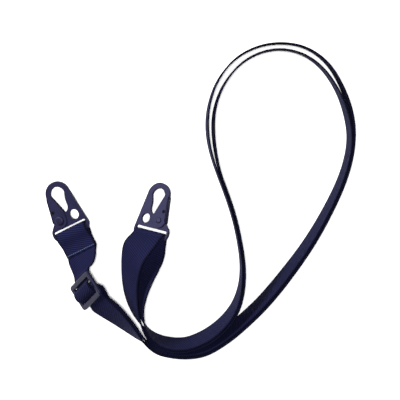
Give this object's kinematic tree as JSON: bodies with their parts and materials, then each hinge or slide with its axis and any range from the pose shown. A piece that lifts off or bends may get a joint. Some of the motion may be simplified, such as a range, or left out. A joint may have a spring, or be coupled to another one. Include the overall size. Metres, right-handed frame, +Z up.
{
  "type": "two-point carry strap",
  "caption": "Long webbing carry strap laid in loose loops, with an adjusting slider and a flat spring-gate hook at each end.",
  "frame": {"origin": "middle of the laid strap's outline, on the surface it lies on", "axes": "+Z up from the surface, +Y away from the viewer, towards the top of the big loop, +X right"},
  "size_m": [0.2781, 0.2838, 0.0377],
  "materials": {
    "webbing": "woven, matte",
    "thread": "sewing thread",
    "coated_steel": "matte coated sheet steel",
    "rivet_steel": "matte coated",
    "dark_steel": "dark oxide",
    "spring_steel": "drawn wire",
    "slider_plastic": "moulded, satin"
  },
  "bodies": {
    "strap": {"tab_fold": "webbing", "tab_strap": "webbing", "tab_stitching": "thread", "running_layer": "webbing", "clip_b_bight": "webbing", "return_layer": "webbing"},
    "slider": {"slider_frame": "slider_plastic", "bar_arch": "webbing", "return_end": "webbing", "return_stitching": "thread"},
    "clip_a": {"clip_a_plate": "coated_steel", "clip_a_rivet": "rivet_steel", "clip_a_spring": "spring_steel"},
    "gate_a": {"clip_a_gate": "coated_steel", "clip_a_spring_pin": "dark_steel"},
    "clip_b": {"clip_b_plate": "coated_steel", "clip_b_rivet": "rivet_steel", "clip_b_spring": "spring_steel"},
    "gate_b": {"clip_b_gate": "coated_steel", "clip_b_spring_pin": "dark_steel"}
  },
  "joints": [
    {"name": "slider_slide", "type": "slide", "parent": "strap", "child": "slider", "axis": [0.5294, -0.8341, 0.1548], "range_m": [-0.003, 0]},
    {"name": "clip_a_swing", "type": "hinge", "parent": "strap", "child": "clip_a", "pos_m": [-0.114, -0.0284, 0.011], "axis": [0.8204, 0.4019, 0.4067], "range_deg": [0, 95]},
    {"name": "clip_b_swing", "type": "hinge", "parent": "strap", "child": "clip_b", "pos_m": [-0.0443, -0.0309, 0.0145], "axis": [0.7948, -0.1982, 0.5736], "range_deg": [0, 95]},
    {"name": "gate_a_open", "type": "hinge", "parent": "clip_a", "child": "gate_a", "pos_m": [-0.1251, -0.01736, 0.00872], "axis": [0.3653, 0.1789, -0.9135], "range_deg": [0, 22], "stiffness_Nm_per_rad": 0.05, "springref_deg": -28.65, "deforming": ["clip_a_spring"]},
    {"name": "gate_b_open", "type": "hinge", "parent": "clip_b", "child": "gate_b", "pos_m": [-0.03556, -0.01788, 0.01665], "axis": [-0.5333, 0.2228, 0.816], "range_deg": [0, 22], "stiffness_Nm_per_rad": 0.05, "springref_deg": -28.65, "deforming": ["clip_b_spring"]}
  ]
}
